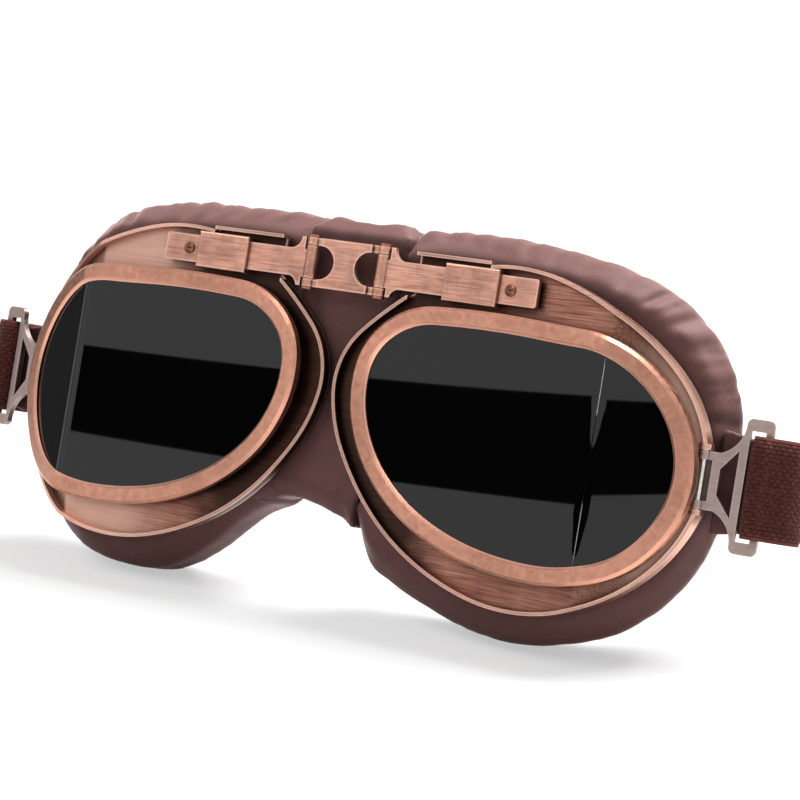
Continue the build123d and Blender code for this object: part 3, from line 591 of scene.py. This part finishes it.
def webbing(name, tone, thread):
    """Elastic webbing with raised yarns and a firm border, painted shade between the yarns, and a lighter
    border that is partly a painted highlight.
    """
    made, tree, shader = material(name)
    weave = effect(tree, "Elastic weave")
    fuzz = noise_at(tree, object_place(tree), 900.0, 3.0, 0.6)
    # Painted shade in the gaps between the yarns.
    shade = mix(tree, weave["Yarn"], toned(tone, 0.35), tone)
    shade = mix(tree, times(tree, ramp(tree, fuzz, 0.45, 0.75), 0.5), shade, thread)
    # The firm border, lighter: partly its own yarn, partly a painted highlight along the edges.
    shade = mix(tree, times(tree, weave["Border"], 0.6), shade, thread)
    height = plus(tree, weave["Height"], times(tree, fuzz, 0.3))
    feed(tree, shader, Base_Color=shade, Roughness=0.8, Specular_IOR_Level=0.06,
         Sheen_Weight=0.06, Sheen_Roughness=0.5, Sheen_Tint=(0.95, 0.7, 0.68),
         Normal=bump(tree, height, 0.00035, 0.9))
    return made


def dull(name, tone, rough, grain, depth):
    """Rubber, moulded plastic or thread."""
    made, tree, shader = material(name)
    speck = noise_at(tree, object_place(tree), grain, 4.0, 0.6)
    shade = mix(tree, ramp(tree, speck, 0.3, 0.7), tone, toned(tone, 1.5))
    feed(tree, shader, Base_Color=shade, Roughness=plus(tree, times(tree, speck, 0.2), rough),
         Normal=bump(tree, speck, depth, 0.6))
    return made


def smoked(name, tone, polish):
    """Smoked glass, with faint wiping marks in its polish."""
    made, tree, shader = material(name)
    haze = noise_at(tree, object_place(tree), 35.0, 3.0, 0.5)
    feed(tree, shader, Base_Color=tone, IOR=1.47, Transmission_Weight=0.0, Metallic=0.0,
         Roughness=plus(tree, times(tree, haze, 0.012), polish))
    return made


# Mesh helpers

def add_object(name, mesh, smooth=True):
    piece = bpy.data.objects.new(name, mesh)
    bpy.context.scene.collection.objects.link(piece)
    if smooth:
        shade_smooth(mesh)
    return piece


def shade_smooth(mesh):
    mesh.polygons.foreach_set("use_smooth", [True] * len(mesh.polygons))


def built(name, bm, smooth=True):
    """New object from an edit mesh, which is freed."""
    mesh = bpy.data.meshes.new(name)
    bm.to_mesh(mesh)
    bm.free()
    return add_object(name, mesh, smooth)


def finish_with(piece, made):
    piece.data.materials.clear()
    piece.data.materials.append(made)


def solid_copy(name, node, voxel, soften):
    """Even, softened mesh of a soft solid, as a new object."""
    piece = add_object(name, frame["nodes"][node].data.copy())
    even = piece.modifiers.new("Even", "REMESH")
    even.mode = "VOXEL"
    even.voxel_size = voxel
    calm = piece.modifiers.new("Calm", "SMOOTH")
    calm.factor = 0.5
    calm.iterations = soften
    evaluated = piece.evaluated_get(bpy.context.evaluated_depsgraph_get())
    mesh = bpy.data.meshes.new_from_object(evaluated)
    piece.modifiers.clear()
    piece.data = mesh
    shade_smooth(mesh)
    return piece


def heading(degrees):
    return Vector((math.cos(math.radians(degrees)), math.sin(math.radians(degrees)), 0))


def arc(centre, radius, first, last, step=1.5):
    """Points along an arc in plan, between two headings."""
    count = max(3, int(abs(math.radians(last - first)) * radius / step))
    return [centre + heading(first + (last - first) * k / count) * radius for k in range(count + 1)]


def line(first, last, step=2.0):
    """Points along a straight run, without its first."""
    count = max(2, int((last - first).length / step))
    return [first.lerp(last, k / count) for k in range(1, count + 1)]


def mirrored(points):
    return [Vector((-p.x, p.y, p.z)) for p in points]


def ply_section(width, ply, steps=6):
    """Closed section of webbing: thickness, height and share of the width for each point."""
    half = width / 2
    section = []
    for face in (1, -1):
        for k in range(steps + 1):
            share = k / steps if face == 1 else 1 - k / steps
            z = (share - 0.5) * 2
            inwards = max((1 - abs(z)) * half / (ply * 0.5), 0.0)
            thick = ply / 2
            if inwards < 1:
                thick *= PLY_EDGE_SHARE + (1 - PLY_EDGE_SHARE) * math.sqrt(inwards)
            section.append((thick * face, z * half, share))
    return section


def ribbon(name, path, level, width, ply):
    """Webbing swept along upright points in plan, with length and width kept as UVs."""
    bm = bmesh.new()
    layer = bm.loops.layers.uv.new("Webbing")
    section = ply_section(width, ply)
    rings = []
    lengths = [0.0]
    for first, second in zip(path, path[1:]):
        lengths.append(lengths[-1] + (second - first).length)
    for k, p in enumerate(path):
        ahead = path[min(k + 1, len(path) - 1)] - path[max(k - 1, 0)]
        side = Vector((ahead.y, -ahead.x, 0)).normalized()
        rings.append([bm.verts.new(STAND @ Vector((p.x + side.x * t, p.y + side.y * t, level + z)))
                      for t, z, share in section])
    for k in range(len(rings) - 1):
        for j in range(len(section)):
            i = (j + 1) % len(section)
            corners = ((k, j), (k, i), (k + 1, i), (k + 1, j))
            face = bm.faces.new([rings[row][column] for row, column in corners])
            for loop, (row, column) in zip(face.loops, corners):
                loop[layer].uv = (lengths[row] * MM, section[column][2])
    bm.faces.new(rings[0][::-1])
    bm.faces.new(rings[-1])
    bmesh.ops.recalc_face_normals(bm, faces=bm.faces)
    return built(name, bm)


# Leather

def round_eye(point, side):
    """Direction and distance of an upright point from the middle of its eye."""
    up, across = point.z - EYE_UP, point.x * side - EYE_ACROSS
    return math.atan2(up, across), math.hypot(up, across)


def outline_table(points, side):
    """Outer radius, and distance round the rim, for each direction from the eye."""
    reach = [0.0] * DIRECTIONS
    for p in points:
        turn, radius = round_eye(p, side)
        step = int((turn / (2 * math.pi) + 0.5) * DIRECTIONS) % DIRECTIONS
        reach[step] = max(reach[step], radius)
    reach = [max(reach[(i + k) % DIRECTIONS] for k in (-1, 0, 1)) for i in range(DIRECTIONS)]
    way = [0.0]
    for i in range(DIRECTIONS):
        outwards = reach[(i + 1) % DIRECTIONS] - reach[i]
        way.append(way[-1] + math.hypot(outwards, reach[i] * 2 * math.pi / DIRECTIONS))
    return reach, way


def look_up(table, turn):
    """Value for a direction in a table that goes once round, or ends where it closes."""
    place = (turn / (2 * math.pi) + 0.5) * DIRECTIONS
    low = int(place)
    if len(table) > DIRECTIONS:
        first, second = table[min(low, DIRECTIONS)], table[min(low + 1, DIRECTIONS)]
    else:
        first, second = table[low % DIRECTIONS], table[(low + 1) % DIRECTIONS]
    return first + (second - first) * (place - low)


def waver(point, scales):
    """Noise at a point, scaled along each axis."""
    return noise.noise(Vector([place * scale for place, scale in zip(point, scales)]))


def gathers(along, depth, side):
    """Height of the gathers as a share, by distance round the rim and depth."""
    drift = noise.noise(Vector((along * DRIFT_SCALE, side * 3.1, 0.0))) * GATHER_DRIFT
    lean = (depth - GATHER_MIDDLE) * 0.6 * noise.noise(Vector((along * LEAN_SCALE, 7.0, side)))
    lobe = abs(math.sin(math.pi * (along + drift + lean) / GATHER_PITCH)) ** 0.75
    small = abs(math.sin(math.pi * (along + drift * 1.7 + SMALL_SHIFT) / SMALL_PITCH)) ** 0.8
    size = 1.0 + 0.9 * noise.noise(Vector((along * SIZE_SCALE, 1.7, side * 2.0)))
    return ((lobe - 1.0) * GATHER_SHARE + small * SMALL_SHARE) * size


def crumple(piece, side, gather):
    """Gather the leather round the rim, make it uneven and draw its corner at the nose."""
    mesh = piece.data
    points = [UPRIGHT @ v.co for v in mesh.vertices]
    normals = [v.normal.copy() for v in mesh.vertices]
    reach, way = outline_table(points, side)
    for vertex, p, normal in zip(mesh.vertices, points, normals):
        x = p.x * side
        turn, radius = round_eye(p, side)
        outer = look_up(reach, turn)
        depth = p.y - max(x - CREASE, 0.0) * math.tan(SIDE_BEND)
        rim = smoothstep(outer - RIM_START, outer - RIM_FULL, radius)
        strength = rim * (0.18 + 0.82 * smoothstep(*GATHER_LEVELS, p.z))
        strength *= 1.0 - 0.55 * smoothstep(*GATHER_DEPTHS, depth)
        fold = gathers(look_up(way, turn), depth, side) * strength
        uneven = waver(p, BROAD_SCALES) * BROAD_HEIGHT + waver(p, FINE_SCALES) * FINE_HEIGHT
        vertex.co += normal * (fold * gather + uneven * rim * MM)
        draw = Vector((0.0, 0.0, 0.0))
        for drawn_side, full, first, last in CORNER_DRAWS:
            if drawn_side == side:
                draw += full * smoothstep(first, last, x)
        vertex.co += STAND.to_3x3() @ draw * smoothstep(*CORNER_LEVELS, p.z)
    mesh.update()


def shape_saddle(mesh):
    """Widen the saddle, raise and shift its arch, and pucker its leather."""
    for vertex in mesh.vertices:
        p = UPRIGHT @ vertex.co
        low = smoothstep(*SADDLE_LEVELS, p.z)
        rise = sum(height * smoothstep(start, full, p.x) for height, start, full in SADDLE_RISES)
        pull = Vector((p.x * SADDLE_WIDEN_SHARE - SADDLE_SHIFT * low, 0, rise * low))
        pucker = waver(p, SADDLE_PUCKER_SCALES) * SADDLE_PUCKER
        vertex.co += vertex.normal * pucker * MM + STAND.to_3x3() @ pull


# Strap

def side_path(radius):
    """Plan path of one side: sewn end, round the bar, and away to the back of the head."""
    flat = Vector((BRACKET_PIN.x, BRACKET_PIN.y, 0))
    along, across = heading(BRACKET_TURN), heading(BRACKET_TURN + 90)
    away, out = heading(STRAP_HEADING), heading(STRAP_HEADING - 90)
    centre = flat + along * TURN_START + across * radius
    end = centre + out * radius
    low, high = BRACKET_TURN - 90, STRAP_HEADING - 90
    path = [end - out * SEWN_OFFSET + away * SEWN]
    path += line(path[-1], end - out * SEWN_OFFSET)
    path += arc(centre, radius - SEWN_OFFSET, high, low)[1:]
    path += arc(flat + along * BAR_MIDDLE, BAR_WRAP, BRACKET_TURN + 90, BRACKET_TURN + 270, BAR_STEP)
    path += line(path[-1], flat + along * (TURN_START - OUTER_PLY_BACK) - across * OUTER_PLY_OFFSET,
                 BAR_END_STEP)
    path += arc(centre, radius + SEWN_OFFSET, low, high)[1:]
    path += line(path[-1], end + out * SEWN_OFFSET + away * SEWN)
    return path, end, away, out


def rear_arc():
    """Centre and radius of the strap across the back of the head."""
    centre = UPRIGHT @ Vector(hinge("adjuster_slide")["pos_m"])
    far = max((UPRIGHT @ v.co).y for v in frame["nodes"]["strap_rear"].data.vertices)
    return Vector((centre.x, centre.y, 0)), far - centre.y - PLY / 2


def stitches(name, points, length):
    """Upright thread stitches at upright points."""
    bm = bmesh.new()
    for p in points:
        place = Matrix.Translation(p) @ Matrix.Diagonal((THREAD_RADIUS, THREAD_RADIUS, length / 2, 1))
        made = bmesh.ops.create_uvsphere(bm, u_segments=6, v_segments=5, radius=1.0)
        bmesh.ops.transform(bm, verts=made["verts"], matrix=place)
    bmesh.ops.transform(bm, verts=bm.verts, matrix=STAND)
    return built(name, bm)


# Operators

class GOGGLES_OT_stage(bpy.types.Operator):
    """Set the floor, the dark cards, the lamps and the camera"""
    bl_idname = "goggles.stage"
    bl_label = "Studio"

    def execute(self, context):
        scene = context.scene
        view = scene.goggles_stage
        scene.view_settings.view_transform = "Standard"
        self.lay_floor(view)
        self.hang_cards()
        self.light_world(scene, view)
        self.hang_lamps(scene, view)
        self.set_camera(scene, view)
        return {"FINISHED"}

    def lay_floor(self, view):
        """Floor that takes shadows, and glows white to the camera further out."""
        bm = bmesh.new()
        bmesh.ops.create_grid(bm, x_segments=1, y_segments=1, size=FLOOR_REACH)
        floor = built("Floor", bm, smooth=False)
        floor.location = (0, 0, -FLOOR_DROP)
        made, tree, shader = material("Pale floor")
        feed(tree, shader, Base_Color=tuple(view.floor), Roughness=0.9, Specular_IOR_Level=0.1)
        glow = put(tree, "ShaderNodeEmission", {"Color": (1, 1, 1, 1), "Strength": 1.0})
        seen = put(tree, "ShaderNodeLightPath").outputs["Is Camera Ray"]
        far = put(tree, "ShaderNodeVectorMath", links={0: object_place(tree)}, operation="LENGTH")
        share = times(tree, seen, ramp(tree, far.outputs["Value"], GLOW_NEAR, GLOW_FAR, GLOW_LEAST))
        both = put(tree, "ShaderNodeMixShader", links={0: share, 1: shader.outputs[0], 2: glow.outputs[0]})
        tree.links.new(both.outputs[0], tree.nodes["Material Output"].inputs["Surface"])
        finish_with(floor, made)

    def hang_cards(self):
        """Dark cards bent round the stage, seen only as reflections."""
        for name, tone, distance, edge in CARDS:
            made, tree, shader = material(name)
            feed(tree, shader, Base_Color=(0.0, 0.0, 0.0), Roughness=1.0, Specular_IOR_Level=0.0,
                 Emission_Color=(tone, tone, tone), Emission_Strength=1.0)
            bm = bmesh.new()
            rows = []
            for start, end in zip(edge, edge[1:]):
                for k in range(CARD_STEPS + 1):
                    turn, low, high = Vector(start).lerp(Vector(end), k / CARD_STEPS)
                    out = Vector((math.sin(math.radians(turn)), -math.cos(math.radians(turn)))) * distance
                    rows.append([bm.verts.new((*out, height)) for height in (low, high)])
            for one, two in zip(rows, rows[1:]):
                bm.faces.new((one[0], two[0], two[1], one[1]))
            card = built(name, bm, smooth=False)
            finish_with(card, made)
            card.visible_camera = card.visible_shadow = card.visible_diffuse = False

    def light_world(self, scene, view):
        """Even light from all round, and white for what is seen or reflected."""
        world = bpy.data.worlds.new("Studio")
        world.use_nodes = True
        scene.world = world
        tree = world.node_tree
        even = tree.nodes["Background"]
        even.inputs["Color"].default_value = (1, 1, 1, 1)
        even.inputs["Strength"].default_value = view.ambient
        path = put(tree, "ShaderNodeLightPath").outputs
        seen = maths(tree, "ADD", path["Is Camera Ray"], path["Is Glossy Ray"], clamp=True)
        seen = maths(tree, "ADD", seen, path["Is Transmission Ray"], clamp=True)
        white = put(tree, "ShaderNodeBackground", {"Color": (1, 1, 1, 1), "Strength": 1.0})
        both = put(tree, "ShaderNodeMixShader", links={0: seen, 1: even.outputs[0], 2: white.outputs[0]})
        tree.links.new(both.outputs[0], tree.nodes["World Output"].inputs["Surface"])

    def hang_lamps(self, scene, view):
        for name, place in LAMPS:
            lamp = bpy.data.lights.new(name, "AREA")
            lamp.energy = getattr(view, name.lower())
            lamp.size = LAMP_SIZE
            piece = bpy.data.objects.new(name, lamp)
            piece.location = place
            piece.rotation_euler = (LAMP_AIM - place).to_track_quat("-Z", "Y").to_euler()
            scene.collection.objects.link(piece)

    def set_camera(self, scene, view):
        back = Vector((math.sin(view.azimuth) * math.cos(view.elevation),
                       -math.cos(view.azimuth) * math.cos(view.elevation), math.sin(view.elevation)))
        right = Vector((math.cos(view.azimuth), math.sin(view.azimuth), 0))
        turn = Matrix((right, back.cross(right), back)).transposed().to_4x4()
        camera = bpy.data.objects.new("Camera", bpy.data.cameras.new("Camera"))
        camera.data.lens = view.lens
        camera.data.sensor_width = SENSOR_MM
        camera.matrix_world = (Matrix.Translation(STAND.translation + Vector(view.eye)) @ turn
                               @ Matrix.Rotation(view.roll, 4, "Z"))
        scene.collection.objects.link(camera)
        scene.camera = camera


class GOGGLES_OT_metal(bpy.types.Operator):
    """Finish the frames, the bridge and the strap brackets"""
    bl_idname = "goggles.metal"
    bl_label = "Plated metal"

    def execute(self, context):
        tones = context.scene.goggles_metal
        brushed_group()
        rub_group()
        finishes = self.plating(tones)
        finishes["bracket_pin"] = steel("Pin steel", list(tones.bright), 0.2)
        finishes["clamp_ring"] = steel("Ring steel", list(tones.ring), 0.4)
        for side, sign in SIDES:
            for node, made in finishes.items():
                finish_with(frame["nodes"][side + "_" + node], made)
        finish_with(frame["nodes"]["bridge_link"], finishes["sleeve"])
        return {"FINISHED"}

    def plating(self, tones):
        """Copper finish of each plated node, from fine rub to long brushing."""
        middle, dark, pale = list(tones.middle), list(tones.dark), list(tones.pale)
        bridge = copper("Bridge copper", pale, middle, dark, BRIDGE_BRUSHING, grime=0.34,
                        low=0.28, high=0.44, patches=110.0)
        return {
            "bezel": copper(
                "Bezel copper", toned(tones.light, (0.88, 0.90, 0.94)), middle, dark,
                BEZEL_GRAIN, grime=0.24, high=0.42, patches=38.0, streak=0.25),
            "shell": copper(
                "Flange copper", pale, toned(middle, (0.46, 0.33, 0.28)), dark,
                FLANGE_BRUSHING, grime=0.4, patches=42.0, streak=0.4, nose_shade=0.92),
            "strip_arm": bridge,
            "sleeve": bridge,
            "strap_bracket": copper(
                "Bracket copper", toned(tones.satin, 0.85), toned(tones.satin, 0.65), dark,
                BRACKET_BRUSHING, grime=0.12, low=0.32, high=0.5),
            "stop_screw": copper(
                "Screw copper", toned(middle, 0.6), toned(middle, 0.2), dark,
                SMALL_GRAIN, grime=0.5),
            "bridge_pin": copper(
                "Pin copper", middle, toned(middle, 0.5), dark,
                SMALL_GRAIN, grime=0.4),
        }


class GOGGLES_OT_lenses(bpy.types.Operator):
    """Finish the smoked panes and their seals"""
    bl_idname = "goggles.lenses"
    bl_label = "Smoked lenses"

    def execute(self, context):
        look = context.scene.goggles_lens
        glass = smoked("Smoked glass", tuple(look.smoke), look.polish)
        rubber = dull("Seal rubber", list(look.seal), 0.6, 1200.0, 0.00004)
        for side, sign in SIDES:
            finish_with(frame["nodes"][side + "_front_pane"], glass)
            finish_with(frame["nodes"][side + "_side_pane"], glass)
            finish_with(frame["nodes"][side + "_lens_seal"], rubber)
        return {"FINISHED"}


class GOGGLES_OT_cushions(bpy.types.Operator):
    """Make the gathered leather cushions, the nose saddle and the temple tabs"""
    bl_idname = "goggles.cushions"
    bl_label = "Leather cushions"

    def execute(self, context):
        soft = context.scene.goggles_soft
        leather_group()
        skin = leather("Cushion leather", list(soft.leather), list(soft.crease))
        for side, sign in SIDES:
            self.cushion(side, sign, skin, soft)
            self.tab(side, sign, skin)
        self.saddle(skin, soft)
        return {"FINISHED"}

    def cushion(self, side, sign, skin, soft):
        cushion = solid_copy(side + "_cushion", side + "_pad", soft.voxel, CUSHION_SOFTENING)
        crumple(cushion, sign, soft.gather)
        finish_with(cushion, skin)
        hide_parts(side + "_pad")
        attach(cushion, side + "_eye")

    def tab(self, side, sign, skin):
        tab = solid_copy(side + "_tab", side + "_temple_tab", TAB_GRID, TAB_SOFTENING)
        finish_with(tab, skin)
        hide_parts(side + "_temple_tab")
        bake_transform(tab)

    def saddle(self, skin, soft):
        """Saddle in two halves, one on each side of the middle."""
        grid = soft.voxel * SADDLE_GRID_SHARE
        saddle = solid_copy("nose_saddle", "nose_pad", grid, SADDLE_SOFTENING)
        shape_saddle(saddle.data)
        finish_with(saddle, skin)
        whole = saddle.data
        for side, sign in SIDES:
            half = saddle if sign < 0 else add_object("nose_saddle_left", whole.copy())
            self.keep_half(half, sign)
            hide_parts("nose_pad")
            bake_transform(half)

    def keep_half(self, piece, side):
        """Keep the saddle's half on one side of the middle, closed at the cut."""
        bm = bmesh.new()
        bm.from_mesh(piece.data)
        every = bm.verts[:] + bm.edges[:] + bm.faces[:]
        cut = bmesh.ops.bisect_plane(bm, geom=every, plane_co=(0, 0, 0), plane_no=(-side, 0, 0),
                                     clear_outer=True)
        rim = [e for e in cut["geom_cut"] if isinstance(e, bmesh.types.BMEdge)]
        bmesh.ops.holes_fill(bm, edges=rim, sides=0)
        for edge in rim:
            edge.smooth = False
        bm.to_mesh(piece.data)
        bm.free()


class GOGGLES_OT_straps(bpy.types.Operator):
    """Weave the head strap, its sewn loops and its adjuster"""
    bl_idname = "goggles.straps"
    bl_label = "Head strap"

    def execute(self, context):
        soft = context.scene.goggles_soft
        weave_group()
        cloth = webbing("Red-brown webbing", list(soft.webbing), list(soft.thread))
        slide = dull("Adjuster plastic", list(soft.slide), 0.4, 900.0, 0.00004)
        thread = dull("Strap thread", toned(soft.webbing, 0.6), 0.7, 2500.0, 0.00003)
        centre, radius = rear_arc()
        for side, sign in SIDES:
            self.side_strap(side, sign, centre + heading(STRAP_HEADING - 90) * radius, cloth, thread,
                            soft.stitch / MM)
        for side, sign in SIDES:
            self.back(side, sign, centre, radius, cloth)
        self.tail(centre, radius, cloth)
        finish_with(frame["nodes"]["strap_adjuster"], slide)
        return {"FINISHED"}

    def side_strap(self, side, sign, last, cloth, thread, stitch):
        """Loop round the bracket and the straight run to the back, with its stitches."""
        path, end, away, out = side_path(TURN_RADII[side])
        run = end + away * (SEWN + EASE_LENGTH)
        path += line(path[-1], run, EASE_STEP) + line(run, last - away * STRAP_JOIN)
        if sign < 0:
            path = mirrored(path)
        piece = ribbon(side + "_strap", path, BRACKET_PIN.z, STRAP_WIDTH, PLY)
        finish_with(piece, cloth)
        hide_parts(side + "_strap_loop", side + "_strap_side")
        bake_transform(piece)
        self.sew(side, sign, end, away, out, thread, stitch)

    def back(self, side, sign, centre, radius, cloth):
        """Half of the strap's back, lapped a little into the straight run."""
        first = STRAP_HEADING - 90 + math.degrees(STRAP_JOIN / radius)
        half = arc(centre, radius, first - LAP, 90)
        half = half if sign > 0 else mirrored(half)
        rear = ribbon(side + "_strap_back", half, BRACKET_PIN.z, STRAP_WIDTH - LAP_NARROWER,
                      PLY - LAP_THINNER)
        finish_with(rear, cloth)
        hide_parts("strap_rear")
        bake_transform(rear)

    def sew(self, side, sign, end, away, out, thread, length):
        """Two rows of stitches on each face of the doubled end."""
        span = STRAP_WIDTH - 2 * STITCH_MARGIN
        count = int(span / (length * STITCH_PITCH_SHARE))
        points = []
        for row in STITCH_ROWS:
            for face in (STITCH_LIFT, -STITCH_LIFT):
                base = end + away * row + out * face
                for k in range(count + 1):
                    points.append(Vector((base.x * sign, base.y, BRACKET_PIN.z + (k / count - 0.5) * span)))
        piece = stitches(side + "_strap_stitches", points, length)
        finish_with(piece, thread)
        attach(piece, side + "_bracket")

    def tail(self, centre, radius, cloth):
        """Doubled end of the strap, along the arc of its own solid."""
        points = [UPRIGHT @ v.co - centre for v in frame["nodes"]["strap_tail"].data.vertices]
        turns = [math.degrees(math.atan2(p.y, p.x)) for p in points]
        reach = sum(math.hypot(p.y, p.x) for p in points) / len(points)
        path = arc(centre, reach, min(turns) + TAIL_MARGIN, max(turns) - TAIL_MARGIN)
        piece = ribbon("strap_end", path, BRACKET_PIN.z, STRAP_WIDTH, PLY)
        finish_with(piece, cloth)
        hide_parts("strap_tail")
        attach(piece, "adjuster")


class GOGGLES_PT_panel(bpy.types.Panel):
    """Lists the steps that build the goggles"""
    bl_idname = "GOGGLES_PT_panel"
    bl_label = "Flying goggles"
    bl_space_type = "VIEW_3D"
    bl_region_type = "UI"
    bl_category = "Goggles"

    def draw(self, context):
        for made in OPERATORS:
            self.layout.operator(made.bl_idname)


OPERATORS = (
    GOGGLES_OT_stage,
    GOGGLES_OT_metal,
    GOGGLES_OT_lenses,
    GOGGLES_OT_cushions,
    GOGGLES_OT_straps,
)
GROUPS = (
    ("goggles_stage", GogglesStage),
    ("goggles_metal", GogglesMetal),
    ("goggles_soft", GogglesSoft),
    ("goggles_lens", GogglesLens),
)


def register():
    for name, made in GROUPS:
        bpy.utils.register_class(made)
        setattr(bpy.types.Scene, name, PointerProperty(type=made))
    for made in OPERATORS + (GOGGLES_PT_panel,):
        bpy.utils.register_class(made)


def unregister():
    for made in (GOGGLES_PT_panel,) + OPERATORS[::-1]:
        bpy.utils.unregister_class(made)
    for name, made in GROUPS[::-1]:
        delattr(bpy.types.Scene, name)
        bpy.utils.unregister_class(made)


def main():
    register()
    bpy.ops.goggles.stage()
    bpy.ops.goggles.metal()
    bpy.ops.goggles.lenses()
    bpy.ops.goggles.cushions()
    bpy.ops.goggles.straps()


if __name__ == "__main__":
    main()
